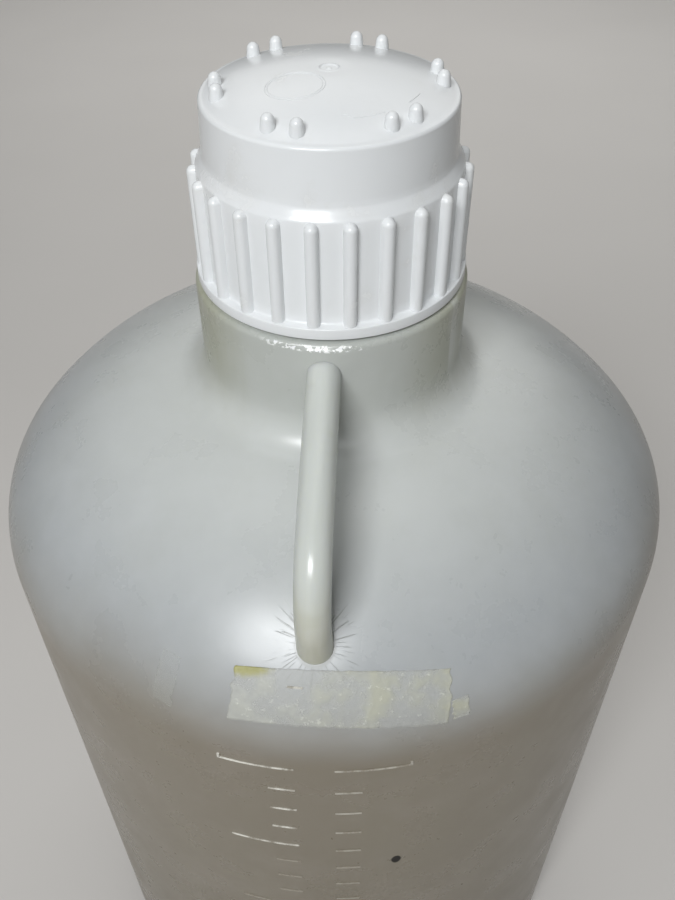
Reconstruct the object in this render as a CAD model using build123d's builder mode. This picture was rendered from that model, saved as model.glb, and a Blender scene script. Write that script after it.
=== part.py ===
from build123d import *
from math import acos, cos, degrees, pi, radians, sin, sqrt
import os

os.makedirs("parts", exist_ok=True)

# A twenty-litre plastic carboy: a blown bottle with a threaded neck, two solid loop handles
# moulded onto the shoulder, a ribbed screw closure with its sealing ring, and three scraps of
# old label tape. Millimetres, +Z up, origin at the centre of the base, front handle on -Y.

# ---- driving dimensions: bottle ----
body_radius = 143.2          # outside of the straight wall
straight_height = 330.0      # base to the start of the shoulder
wall = 3.4                   # bottle wall
base_edge_radius = 12.0      # outside corner between base and wall
base_ring_width = 14.0       # flat ring that the bottle stands on
base_recess = 5.0            # depth of the pushed-up centre of the base
base_recess_slope = 12.0     # how far the recess side runs inwards
shoulder_radius = 27.6       # tight turn at the top of the straight wall
shoulder_slope = 48.8        # slope in degrees where the tight turn meets the crown
crown_slope = 10.0           # slope in degrees where the crown meets the neck fillet
neck_fillet_radius = 14.4    # hollow turn at the foot of the neck
neck_height = 31.4           # straight part of the neck, up to its ledge
neck_edge_radius = 2.0       # rounding of the ledge's outer edge
neck_step = 10.0             # how far the neck stands out beyond the thread's root

# ---- driving dimensions: threaded finish ----
finish_radius = 41.2         # root of the outside thread
finish_height = 60.0         # ledge to rim
finish_wall = 3.6            # wall of the threaded part
thread_pitch = 6.0           # rise in one turn
thread_turns = 2.0           # turns on the neck and in the closure
thread_depth = 2.4           # root to crest on the neck
thread_root_width = 3.0      # width of the neck thread at its root
thread_crest_width = 1.8     # width of the neck thread at its crest
thread_start = 15.0          # ledge to the start of the neck thread
thread_bite = 1.6            # how far the closure thread reaches past the neck thread's crest
crest_clearance = 0.6        # neck crest to the closure's inside wall
flank_clearance = 0.5        # between neighbouring thread flanks
thread_embed = 0.5           # how deep each thread sits in its own wall

# ---- driving dimensions: closure and sealing ring ----
rim_clearance = 0.7          # finish to the inside of the drum
drum_wall = 1.4              # drum wall at its top
drum_draft = 0.7             # extra drum radius at its foot
drum_height = 18.5           # top's edge to the foot of the drum
roof = 3.4                   # thickness of the top
roof_edge_radius = 1.3       # rounding of the top's edge
dome_rise = 7.9              # how far the top swells up from its edge to its middle
seat_margin = 0.5            # flat seat inside the roof, beyond the sealing ring's inner edge
shelf_drop = 3.7             # height of the sloping shelf under the drum
skirt_wall = 2.4             # wall of the ribbed skirt
skirt_gap = 1.4              # skirt to the neck's ledge
flange_reach = 3.4           # flange beyond the skirt
flange_height = 4.3          # thickness of the flange
rib_count = 24               # grip ribs round the skirt
rib_radius = 2.2             # half-round section of a rib
rib_inset = 0.4              # rib's outermost line inside the flange's edge
peg_pairs = 6                # pairs of spanner pegs on the top
peg_half_angle = 7.4         # from the middle of a pair to each peg, in degrees
peg_radius = 2.3             # radius of a peg
peg_height = 4.8             # domed top to the peg's tip
peg_inset = 6.0              # peg circle inside the top's edge
closure_turn = 10.7          # how far the closed closure stands turned, in degrees
gasket_thickness = 2.0       # sealing ring between rim and roof
gasket_width = 4.7           # radial width of the sealing ring

# ---- driving dimensions: handles ----
rod_radius = 6.0             # handle rod
handle_drop = 10.5           # neck ledge to the rod's centre line at the neck
handle_inset = 17.0          # straight wall to the rod's outermost centre line
handle_bend = 24.0           # bend radius at the outer end
handle_first_slope = 8.0     # slope in degrees where the rod leaves the neck
handle_last_slope = 24.0     # slope in degrees where the bend starts
handle_return = 15.0         # how far in degrees the lower end turns back past upright
handle_root = 6.0            # length inside the neck's outline, trimmed away
handle_foot = 40.0           # length of the lower end before it is trimmed to the shoulder

# ---- driving dimensions: graduations and label scraps ----
mark_top = 318.9             # height of the top mark, five gallons or nineteen litres
quart_step = 15.49           # rise for one quart
litre_step = 16.37           # rise for one litre
quart_marks = 20
litre_marks = 19
quarts_in_gallon = 4
mark_height = 0.5            # how far a mark stands out
mark_width = 1.2
mark_gap_angle = 2.9         # from the handle's plane to the inner ends of the marks
short_mark_angle = 4.0       # length of a short mark round the body
long_mark_angle = 11.1       # length of a long mark round the body
tape_thickness = 0.25
tape_top = 356.0             # upper edge of the label tape on the shoulder
tape_bottom = 343.0          # lower edge of the label tape
tape_spans = {               # start and end round the body, in degrees from the front handle
    "label_tape_left": (-24.0, -18.8),
    "label_tape_main": (-13.0, 20.0),
    "label_tape_right": (20.8, 22.6),
}

# ---- sizes that follow from the driving dimensions ----
neck_radius = finish_radius + neck_step
shoulder_sine = sin(radians(shoulder_slope))
crown_sine = sin(radians(crown_slope))
shoulder_reach = shoulder_radius * (1 - shoulder_sine)
fillet_reach = neck_fillet_radius * (1 - crown_sine)
crown_radius = (body_radius - neck_radius - shoulder_reach - fillet_reach) / (shoulder_sine - crown_sine)
shoulder_rise = shoulder_radius * cos(radians(shoulder_slope))
crown_rise = crown_radius * (cos(radians(crown_slope)) - cos(radians(shoulder_slope)))
fillet_rise = neck_fillet_radius * cos(radians(crown_slope))
ledge_z = straight_height + shoulder_rise + crown_rise + fillet_rise + neck_height
rim_z = ledge_z + finish_height
bore_radius = finish_radius - finish_wall
roof_z = rim_z + gasket_thickness
top_z = roof_z + roof
ring_inside = body_radius - base_edge_radius - base_ring_width

drum_inside = finish_radius + rim_clearance
drum_top_radius = drum_inside + drum_wall
drum_foot_radius = drum_top_radius + drum_draft
skirt_inside = finish_radius + thread_depth + crest_clearance
skirt_outside = skirt_inside + skirt_wall
flange_radius = skirt_outside + flange_reach
skirt_z = ledge_z + skirt_gap
flange_z = skirt_z + flange_height
shelf_z = top_z - drum_height - shelf_drop
step_z = shelf_z - drum_wall
seat_inside = finish_radius - gasket_width - seat_margin
dome_radius = (drum_top_radius**2 + dome_rise**2) / (2 * dome_rise)
dome_centre = (0, top_z + dome_rise - dome_radius)
dome_edge_angle = degrees(acos(drum_top_radius / dome_radius))
hollow_radius = dome_radius - roof
hollow_edge_angle = degrees(acos(seat_inside / hollow_radius))
thread_rise = thread_pitch * thread_turns


def half_outline(inset):
    """Draw the closed half outline of the bottle up to the ledge, moved in by inset."""
    floor = Line((0, inset), (body_radius - base_edge_radius, inset))
    corner = JernArc(floor @ 1, (1, 0), base_edge_radius - inset, 90)
    side = Line(corner @ 1, (body_radius - inset, straight_height))
    shoulder = JernArc(side @ 1, (0, 1), shoulder_radius - inset, 90 - shoulder_slope)
    crown = JernArc(shoulder @ 1, shoulder % 1, crown_radius - inset, shoulder_slope - crown_slope)
    foot = JernArc(crown @ 1, crown % 1, neck_fillet_radius + inset, crown_slope - 90)
    neck = Line(foot @ 1, (neck_radius - inset, ledge_z - inset))
    Polyline(neck @ 1, (0, ledge_z - inset), (0, inset))


def front_plane(angle):
    """Upright half plane through the axis, at an angle round the body from the front handle."""
    return Plane.XZ.rotated((0, 0, angle - 90))


def ring_edges(part, radius, height):
    """Circular edges of a part that have this radius and lie level at this height."""
    circles = part.edges().filter_by(GeomType.CIRCLE)
    return circles.filter_by(
        lambda edge: abs(edge.radius - radius) < 0.01 and abs(edge.center().Z - height) < 0.01
    )


def thread_path_plane(path):
    """Plane across the start of a helix, with its local x pointing away from the axis."""
    return Plane(origin=path @ 0, x_dir=(1, 0, 0), z_dir=path % 0)


# ---- the bottle's outside as one solid, which the handles are trimmed to ----
with BuildPart() as envelope:
    with BuildSketch(Plane.XZ):
        with BuildLine():
            half_outline(0)
        make_face()
    revolve(axis=Axis.Z)

# ---- the helical thread of the neck ----
with BuildPart() as neck_thread:
    with BuildLine(Plane.XY.offset(ledge_z + thread_start)) as neck_helix:
        Helix(pitch=thread_pitch, height=thread_rise, radius=finish_radius)
    with BuildSketch(thread_path_plane(neck_helix.line)):
        with BuildLine():
            Polyline(
                (-thread_embed, -thread_root_width / 2),
                (thread_depth, -thread_crest_width / 2),
                (thread_depth, thread_crest_width / 2),
                (-thread_embed, thread_root_width / 2),
                close=True,
            )
        make_face()
    sweep(path=neck_helix.line, is_frenet=True)

# ---- bottle body: blown shell, threaded finish and raised graduations ----
with BuildPart() as bottle_body:
    with BuildSketch(Plane.XZ):
        with BuildLine():
            half_outline(0)
        make_face()
        with BuildLine():
            Polyline(
                (0, ledge_z - wall),
                (finish_radius, ledge_z - wall),
                (finish_radius, rim_z),
                (0, rim_z),
                close=True,
            )
        make_face()
        with BuildLine():
            half_outline(wall)
        make_face(mode=Mode.SUBTRACT)
        with BuildLine():
            Polyline(
                (0, ledge_z - 2 * wall),
                (bore_radius, ledge_z - 2 * wall),
                (bore_radius, rim_z),
                (0, rim_z),
                close=True,
            )
        make_face(mode=Mode.SUBTRACT)
        with BuildLine():
            Polyline(
                (0, wall),
                (ring_inside + wall / 2, wall),
                (ring_inside - base_recess_slope + wall / 2, base_recess + wall),
                (0, base_recess + wall),
                close=True,
            )
        make_face()
        with BuildLine():
            Polyline(
                (0, 0),
                (ring_inside, 0),
                (ring_inside - base_recess_slope, base_recess),
                (0, base_recess),
                close=True,
            )
        make_face(mode=Mode.SUBTRACT)
    revolve(axis=Axis.Z)
    fillet(ring_edges(bottle_body, neck_radius, ledge_z), radius=neck_edge_radius)
    add(neck_thread.part)
    quart_heights = [mark_top - quart_step * i for i in range(quart_marks)]
    litre_heights = [mark_top - litre_step * i for i in range(litre_marks)]
    gallon_heights = quart_heights[::quarts_in_gallon]
    plain_quarts = [z for z in quart_heights if z not in gallon_heights]
    mark_sets = (
        (gallon_heights, -mark_gap_angle, -long_mark_angle),
        (plain_quarts, -mark_gap_angle, -short_mark_angle),
        (litre_heights[:1], mark_gap_angle, long_mark_angle),
        (litre_heights[1:], mark_gap_angle, short_mark_angle),
    )
    for heights, start, sweep_angle in mark_sets:
        with BuildSketch(front_plane(min(start, start + sweep_angle))):
            with Locations(*[(body_radius, z) for z in heights]):
                Rectangle(2 * mark_height, mark_width)
        revolve(axis=Axis.Z, revolution_arc=abs(sweep_angle))

# ---- handles: a bent rod from the neck to the shoulder, trimmed to both ----
start_radius = neck_radius - handle_root
bend_reach = handle_bend * (1 - sin(radians(handle_last_slope)))
first_sine = sin(radians(handle_first_slope))
last_sine = sin(radians(handle_last_slope))
arch_radius = (body_radius - handle_inset - bend_reach - start_radius) / (last_sine - first_sine)


def handle(side):
    """Return one handle; side is -1 for the front and 1 for the rear."""
    plane = Plane(origin=(0, 0, 0), x_dir=(0, side, 0), z_dir=(side, 0, 0))
    leave = (cos(radians(handle_first_slope)), -sin(radians(handle_first_slope)))
    with BuildPart() as rod:
        with BuildLine(plane) as route:
            slope_change = handle_first_slope - handle_last_slope
            arch = JernArc((start_radius, ledge_z - handle_drop), leave, arch_radius, slope_change)
            bend = JernArc(arch @ 1, arch % 1, handle_bend, handle_last_slope - 90 - handle_return)
            Line(bend @ 1, (bend @ 1) + (bend % 1) * handle_foot)
        with BuildSketch(Plane(origin=route.line @ 0, z_dir=route.line % 0)):
            Circle(rod_radius)
        sweep(path=route.line)
        add(envelope.part, mode=Mode.SUBTRACT)
    return rod.part


# ---- closure: domed top, drum, sloping shelf, ribbed skirt, flange, pegs and inside thread ----
with BuildPart() as closure_thread:
    with BuildLine(Plane.XY.offset(ledge_z + thread_start - thread_pitch / 2)) as closure_helix:
        Helix(pitch=thread_pitch, height=thread_rise, radius=skirt_inside)
    closure_root_width = thread_pitch - thread_crest_width - 2 * flank_clearance
    closure_crest_width = thread_pitch - thread_root_width - 2 * flank_clearance
    closure_depth = crest_clearance + thread_bite
    with BuildSketch(thread_path_plane(closure_helix.line)):
        with BuildLine():
            Polyline(
                (thread_embed, -closure_root_width / 2),
                (thread_embed, closure_root_width / 2),
                (-closure_depth, closure_crest_width / 2),
                (-closure_depth, -closure_crest_width / 2),
                close=True,
            )
        make_face()
    sweep(path=closure_helix.line, is_frenet=True)

with BuildPart() as closure:
    with BuildSketch(Plane.XZ):
        with BuildLine():
            dome = CenterArc(dome_centre, dome_radius, dome_edge_angle, 90 - dome_edge_angle)
            hollow = CenterArc(dome_centre, hollow_radius, hollow_edge_angle, 90 - hollow_edge_angle)
            Line(dome @ 1, hollow @ 1)
            Polyline(
                dome @ 0,
                (drum_foot_radius, shelf_z + shelf_drop),
                (skirt_outside, shelf_z),
                (skirt_outside, flange_z),
                (flange_radius, flange_z),
                (flange_radius, skirt_z),
                (skirt_inside, skirt_z),
                (skirt_inside, step_z),
                (drum_inside, step_z),
                (drum_inside, roof_z),
                (seat_inside, roof_z),
                hollow @ 0,
            )
        make_face()
    revolve(axis=Axis.Z)
    fillet(ring_edges(closure, drum_top_radius, top_z), radius=roof_edge_radius)
    add(closure_thread.part)
    rib_centre = flange_radius - rib_inset - rib_radius
    rib_height = shelf_z - rib_radius - flange_z + rib_inset
    with BuildSketch(Plane.XY.offset(flange_z - rib_inset)):
        with PolarLocations(rib_centre, rib_count, start_angle=closure_turn):
            Circle(rib_radius)
    extrude(amount=rib_height)
    with Locations(Plane.XY.offset(flange_z - rib_inset + rib_height)):
        with PolarLocations(rib_centre, rib_count, start_angle=closure_turn):
            Sphere(rib_radius)
    peg_circle = drum_top_radius - peg_inset
    peg_foot_z = dome_centre[1] + sqrt(dome_radius**2 - peg_circle**2)
    peg_shank = roof / 2 + peg_height - peg_radius
    for turn in (-peg_half_angle, peg_half_angle):
        with BuildSketch(Plane.XY.offset(peg_foot_z - roof / 2)):
            with PolarLocations(peg_circle, peg_pairs, start_angle=closure_turn + turn):
                Circle(peg_radius)
        extrude(amount=peg_shank)
        with Locations(Plane.XY.offset(peg_foot_z - roof / 2 + peg_shank)):
            with PolarLocations(peg_circle, peg_pairs, start_angle=closure_turn + turn):
                Sphere(peg_radius)

# ---- sealing ring, between the rim and the closure's roof ----
with BuildPart() as closure_gasket:
    with BuildSketch(Plane.XY.offset(rim_z)):
        Circle(finish_radius)
        Circle(finish_radius - gasket_width, mode=Mode.SUBTRACT)
    extrude(amount=gasket_thickness)


def tape_scrap(start, end):
    """Return a thin patch of old label tape that follows the shoulder."""
    with BuildPart() as scrap:
        with BuildSketch(front_plane(start)):
            with BuildLine():
                half_outline(-tape_thickness)
            make_face()
            with BuildLine():
                half_outline(0)
            make_face(mode=Mode.SUBTRACT)
            with Locations((body_radius, (tape_top + tape_bottom) / 2)):
                Rectangle(body_radius, tape_top - tape_bottom, mode=Mode.INTERSECT)
        revolve(axis=Axis.Z, revolution_arc=end - start)
    return scrap.part


pieces = {
    "bottle_body": bottle_body.part,
    "handle_front": handle(-1),
    "handle_rear": handle(1),
    "closure": closure.part,
    "closure_gasket": closure_gasket.part,
}
for name, (start, end) in tape_spans.items():
    pieces[name] = tape_scrap(start, end)

for name, piece in pieces.items():
    piece.label = name
    export_step(piece, f"parts/{name}.step")

print("top's edge", round(top_z, 2), "middle", round(top_z + dome_rise, 2), "ledge", round(ledge_z, 2))
print("lift in one turn", thread_pitch, "metres per radian", thread_pitch / 2000 / pi)
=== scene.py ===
# %% [markdown]
# # A twenty-litre carboy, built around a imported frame
#
# The object is a big blown plastic bottle with two solid loop handles and a ribbed screw closure.
# The CAD model fixes every size. This file makes the surfaces that a person sees, piece by piece, and
# each piece rides on the CAD body that carries it, so the closure still unscrews.

# %% Load the frame and keep its box
import math

import bmesh
import bpy
import numpy as np
from mathutils import Matrix, Vector, noise


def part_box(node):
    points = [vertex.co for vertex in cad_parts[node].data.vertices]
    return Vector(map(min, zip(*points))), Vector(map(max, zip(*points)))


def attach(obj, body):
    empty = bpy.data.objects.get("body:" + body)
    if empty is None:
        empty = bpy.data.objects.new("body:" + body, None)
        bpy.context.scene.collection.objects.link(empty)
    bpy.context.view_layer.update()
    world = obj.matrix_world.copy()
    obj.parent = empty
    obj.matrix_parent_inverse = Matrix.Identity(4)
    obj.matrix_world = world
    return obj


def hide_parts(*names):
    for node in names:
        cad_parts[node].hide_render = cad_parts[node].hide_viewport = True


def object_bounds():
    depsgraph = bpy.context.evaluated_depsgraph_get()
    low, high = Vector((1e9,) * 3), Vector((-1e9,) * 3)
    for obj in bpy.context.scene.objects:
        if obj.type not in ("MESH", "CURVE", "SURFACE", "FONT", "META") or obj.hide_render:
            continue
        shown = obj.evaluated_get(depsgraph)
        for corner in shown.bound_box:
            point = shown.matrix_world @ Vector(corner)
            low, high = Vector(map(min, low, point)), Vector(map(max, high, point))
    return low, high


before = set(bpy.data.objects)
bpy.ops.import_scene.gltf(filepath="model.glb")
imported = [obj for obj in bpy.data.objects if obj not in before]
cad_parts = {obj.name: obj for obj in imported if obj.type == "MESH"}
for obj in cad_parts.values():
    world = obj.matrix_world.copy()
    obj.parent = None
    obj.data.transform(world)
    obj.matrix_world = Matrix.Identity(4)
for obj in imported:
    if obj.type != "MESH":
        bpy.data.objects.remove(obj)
cad_low, cad_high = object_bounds()
MM = 0.001
print("CAD box, mm:", [round(v / MM, 1) for v in (*cad_low, *cad_high)])

# %% [markdown]
# ## The sizes
#
# The frame gives the outside sizes: the body's radius, the rim, the closure's top. The turns of the
# shoulder are the design's own values, and the crown's radius follows from them, exactly as in the CAD
# model: it is the one arc that spans from the tight shoulder turn to the hollow at the neck.

# %% Sizes of the bottle
body_low, body_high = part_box("bottle_body")
closure_low, closure_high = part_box("closure")
gasket_low, gasket_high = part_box("closure_gasket")

BODY_R = body_high.x
RIM_Z = body_high.z
WALL = 3.4 * MM
BASE_EDGE = 12.0 * MM
BASE_RING = 14.0 * MM
BASE_RECESS = 5.0 * MM
RECESS_SLOPE = 12.0 * MM
STRAIGHT_Z = 330.0 * MM
SHOULDER_R = 27.6 * MM
SHOULDER_SLOPE = 48.8
CROWN_SLOPE = 10.0
NECK_FILLET = 14.4 * MM
NECK_R = 51.2 * MM
NECK_EDGE = 2.0 * MM
LEDGE_Z = RIM_Z - 60.0 * MM
FINISH_R = 41.2 * MM
BORE_R = FINISH_R - 3.6 * MM

THREAD_PITCH = 6.0 * MM
THREAD_TURNS = 2.0
THREAD_Z = LEDGE_Z + 15.0 * MM
THREAD_DEPTH = 2.4 * MM
THREAD_ROOT = 3.0 * MM
THREAD_CREST = 1.8 * MM

shoulder_sine = math.sin(math.radians(SHOULDER_SLOPE))
crown_sine = math.sin(math.radians(CROWN_SLOPE))
crown_span = BODY_R - NECK_R - SHOULDER_R * (1 - shoulder_sine) - NECK_FILLET * (1 - crown_sine)
CROWN_R = crown_span / (shoulder_sine - crown_sine)
print("crown radius, mm:", round(CROWN_R / MM, 1), " ledge height, mm:", round(LEDGE_Z / MM, 1))

# %% Sizes of the closure
CREST_Z = closure_high.z
DOME_RISE = 7.9 * MM
TOP_Z = CREST_Z - DOME_RISE
ROOF_Z = gasket_high.z
SKIRT_Z = closure_low.z
FLANGE_R = closure_high.x
FLANGE_TALL = 4.3 * MM
SKIRT_R = FLANGE_R - 3.4 * MM
SKIRT_IN = SKIRT_R - 2.4 * MM
DRUM_IN = FINISH_R + 0.7 * MM
DRUM_TOP_R = DRUM_IN + 1.4 * MM
DRUM_FOOT_R = DRUM_TOP_R + 0.7 * MM
DOME_R = (DRUM_TOP_R**2 + DOME_RISE**2) / (2 * DOME_RISE)
DRUM_TALL = 18.5 * MM
SHELF_DROP = 3.7 * MM
SHELF_Z = TOP_Z - DRUM_TALL - SHELF_DROP
ROOF = 3.4 * MM
ROOF_EDGE = 1.3 * MM
SEAT_R = FINISH_R - 5.2 * MM
RIB_COUNT = 24
RIB_R = 2.2 * MM
RIB_INSET = 0.4 * MM
PEG_PAIRS = 6
PEG_HALF = 7.4
PEG_R = 2.3 * MM
PEG_TALL = 4.8 * MM
PEG_CIRCLE = DRUM_TOP_R - 6.0 * MM
CLOSURE_TURN = 10.7


def dome_z(radius, thickness=0.0):
    """Height of the domed top at a radius, or of a surface that lies a thickness under it."""
    return CREST_Z - DOME_R + math.sqrt((DOME_R - thickness) ** 2 - radius**2)


print("closure from", round(SKIRT_Z / MM, 1), "to", round(CREST_Z / MM, 1), "mm")
print("dome radius, mm:", round(DOME_R / MM, 1))

# %% [markdown]
# ## The camera comes first
#
# The camera stands close to the bottle, a little to the right of the front handle, and looks down past
# the closure. Its place is given from the closure's top, so it follows the frame. A short lens this
# close makes the lower wall shrink away, which is most of what gives the view its depth.

# %% Camera
EYE_OUT = 296.8 * MM
EYE_TURN = 3.335
EYE_ABOVE_CREST = 110.54 * MM
EYE_DOWN = 43.355
EYE_HEADING = 3.012
EYE_ROLL = -0.475
LENS = 36.24

camera_data = bpy.data.cameras.new("camera")
camera_data.lens = LENS
camera_data.sensor_width = 36.0
camera = bpy.data.objects.new("camera", camera_data)
bpy.context.scene.collection.objects.link(camera)
bpy.context.scene.camera = camera
turn = math.radians(EYE_TURN)
camera.location = (EYE_OUT * math.sin(turn), -EYE_OUT * math.cos(turn), CREST_Z + EYE_ABOVE_CREST)
heading = Matrix.Rotation(math.radians(EYE_HEADING), 4, "Z")
pitch = Matrix.Rotation(math.radians(90 - EYE_DOWN), 4, "X")
roll = Matrix.Rotation(math.radians(EYE_ROLL), 4, "Z")
camera.rotation_euler = (heading @ pitch @ roll).to_euler()
print("camera at", [round(v / MM) for v in camera.location], "mm")

# %% [markdown]
# ## Writing node trees as expressions
#
# A material is easier to read as arithmetic than as a list of links. `Wire` wraps one output socket, and
# its operators add Math nodes. `Graph.node` adds any other node: its settings are set first, then its
# sockets get a value or a link.

# %% Wires and graphs
class Wire:
    """One output socket. Arithmetic on it adds Math nodes to its tree."""

    def __init__(self, graph, socket):
        self.graph, self.socket = graph, socket

    def math(self, operation, *values):
        return self.graph.node("ShaderNodeMath", {"operation": operation}, dict(enumerate(values)))[0]

    def __add__(self, other):
        return self.math("ADD", self, other)

    def __sub__(self, other):
        return self.math("SUBTRACT", self, other)

    def __rsub__(self, other):
        return self.math("SUBTRACT", other, self)

    def __mul__(self, other):
        return self.math("MULTIPLY", self, other)

    def __truediv__(self, other):
        return self.math("DIVIDE", self, other)

    def __pow__(self, other):
        return self.math("POWER", self, other)

    __radd__, __rmul__ = __add__, __mul__

    def clipped(self):
        return self.graph.node("ShaderNodeClamp", {}, {0: self})[0]

    def ramp(self, low, high):
        """0 below low, 1 above high, and a smooth step between them."""
        kind = {"interpolation_type": "SMOOTHSTEP"}
        return self.graph.node("ShaderNodeMapRange", kind, {0: self, 1: low, 2: high})[0]


class Graph:
    """A node tree, with one method that adds any node."""

    def __init__(self, tree):
        self.tree = tree

    def node(self, kind, settings=None, inputs=None):
        made = self.tree.nodes.new(kind)
        for key, value in (settings or {}).items():
            setattr(made, key, value)
        for key, value in (inputs or {}).items():
            if isinstance(value, Wire):
                self.tree.links.new(value.socket, made.inputs[key])
            else:
                made.inputs[key].default_value = value
        return [Wire(self, out) for out in made.outputs]

    def mix(self, factor, first, second):
        """Colour first where factor is 0 and second where it is 1."""
        return self.node("ShaderNodeMix", {"data_type": "RGBA"}, {0: factor, 6: first, 7: second})[2]

    def place(self):
        """Object coordinates as a vector and as three numbers."""
        where = self.node("ShaderNodeTexCoord")[3]
        return (where, *self.node("ShaderNodeSeparateXYZ", {}, {0: where}))

    def noise(self, vector, scale, detail=3.0, roughness=0.55, stretch=None):
        """A noise value about 0.5. stretch scales the three directions before the noise is read."""
        if stretch:
            vector = self.node("ShaderNodeMapping", {}, {"Vector": vector, "Scale": stretch})[0]
        values = {"Vector": vector, "Scale": scale, "Detail": detail, "Roughness": roughness}
        return self.node("ShaderNodeTexNoise", {}, values)[0]

    def bump(self, height, distance, strength=1.0):
        values = {"Strength": strength, "Distance": distance, "Height": height}
        return self.node("ShaderNodeBump", {}, values)[0]


def finish_material(name, paint, constants):
    """A material whose changing values come from paint(graph) and whose constant values are set here."""
    material = bpy.data.materials.new(name)
    material.use_nodes = True
    tree = material.node_tree
    shader = tree.nodes["Principled BSDF"]
    for key, value in constants.items():
        shader.inputs[key].default_value = value
    for key, wire in paint(Graph(tree)).items():
        tree.links.new(wire.socket, shader.inputs[key])
    print("material", name, "with", len(tree.nodes), "nodes")
    return material


# %% [markdown]
# ## The plastics
#
# The blown plastic is milky: light goes in, scatters and comes out again, so it has some subsurface
# light. Light and shade are also painted into its colour by height: a bluish white painted light on the
# crown and shoulder, a painted shade with a green cast on the neck, darker at its sides, and a warm grey
# painted shade on the tall wall, which has nothing but air inside, darkest low down. Those are changes
# with height, so they read the Object coordinates. On top come cloudy patches, stained streaks at the
# sides of the neck, painted glints on the flash at the front of the ledge, creases at the handles' feet
# with painted shade in them and a painted shadow round each foot, and one dark speck.

# %% Blown plastic
# Painted light and shade: these tones by height stand in for light from above and the dark inside.
CROWN_PAINTED_LIGHT = (0.62, 0.64, 0.615, 1)
SHOULDER_PAINTED_LIGHT = (0.40, 0.42, 0.43, 1)
NECK_PAINTED_SHADE = (0.48, 0.50, 0.47, 1)
NECK_SIDE_PAINTED_SHADE = (0.41, 0.42, 0.335, 1)
WALL_PAINTED_SHADE = (0.225, 0.195, 0.147, 1)
LOW_WALL_PAINTED_SHADE = (0.19, 0.163, 0.115, 1)
OLIVE = (0.30, 0.30, 0.205, 1)
PALE = (0.78, 0.80, 0.80, 1)
MURKY = (0.30, 0.265, 0.225, 1)
CREASE_PAINTED_SHADE = (0.20, 0.205, 0.18, 1)
PAINTED_GLINT_COLOUR = (0.97, 0.98, 0.97, 1)
SPECK_COLOUR = (0.012, 0.010, 0.008, 1)
LOW_WALL_FADE = (120 * MM, 300 * MM)
WALL_FADE = (318 * MM, 364 * MM)
CROWN_FADE = (350 * MM, 405 * MM)
NECK_FADE = (388 * MM, 414 * MM)
NECK_SIDE_FADE = (22 * MM, 50 * MM)
WAVER = 30 * MM
SPECK_PLACE = (31.8 * MM, -139.7 * MM, 239.7 * MM)
SPECK_R = 2.2 * MM
FOOT_PLACE = (0.0, 121.0 * MM, 362.0 * MM)
FOOT_LEAN = math.radians(15)


def foot_fields(g, where):
    """Distance from the axis of a handle's lower end, and the angle round that axis."""
    x, y, z = g.node("ShaderNodeSeparateXYZ", {}, {0: where})
    out = y.math("ABSOLUTE", y) - FOOT_PLACE[1]
    up = z - FOOT_PLACE[2]
    across = out * math.cos(FOOT_LEAN) - up * math.sin(FOOT_LEAN)
    return (x * x + across * across) ** 0.5, x.math("ARCTAN2", x, across)


def crease_lines(g, distance, angle):
    """Fine creases that run outwards from a handle's foot, where the fused wall was stretched; they give
    bumps and painted shade.
    """
    spokes = g.node("ShaderNodeCombineXYZ", {}, {0: angle * 9, 1: distance * 40})[0]
    lines = g.noise(spokes, 1.6, 2.0).ramp(0.56, 0.66)
    return lines * distance.ramp(6.2 * MM, 7.5 * MM) * (1 - distance.ramp(11 * MM, 19 * MM))


def painted_foot_shadow(distance, z):
    """A painted shadow: the thin dark line where a handle's foot meets the shoulder."""
    band = distance.ramp(5.0 * MM, 6.0 * MM) * (1 - distance.ramp(6.3 * MM, 7.6 * MM))
    return band * z.ramp(345 * MM, 352 * MM)


def painted_ledge_glints(g, where, x, y, z):
    """Painted highlight: broken bright glints on the ragged flash, along the front of the neck's ledge."""
    under_top = z.ramp(LEDGE_Z - 2.8 * MM, LEDGE_Z - 2.0 * MM)
    over_top = z.ramp(LEDGE_Z - 0.9 * MM, LEDGE_Z - 0.2 * MM)
    across = x.math("ABSOLUTE", x + 3 * MM).ramp(13 * MM, 21 * MM)
    behind = y.ramp(-30 * MM, -10 * MM)
    broken = g.noise(where, 620.0, 2.0, 0.6).ramp(0.50, 0.57)
    return broken * under_top * (1 - over_top) * (1 - across) * (1 - behind)


def dark_speck(g, where, patchy):
    """One speck of dirt on the wall, taller than it is wide, with an uneven edge."""
    away = g.node("ShaderNodeVectorMath", {"operation": "SUBTRACT"}, {0: where, 1: SPECK_PLACE})[0]
    away = g.node("ShaderNodeMapping", {}, {"Vector": away, "Scale": (1, 1, 0.6)})[0]
    away = g.node("ShaderNodeVectorMath", {"operation": "LENGTH"}, {0: away})[1]
    return 1 - (away + (patchy - 0.5) * 2 * MM).ramp(SPECK_R * 0.75, SPECK_R)


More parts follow.
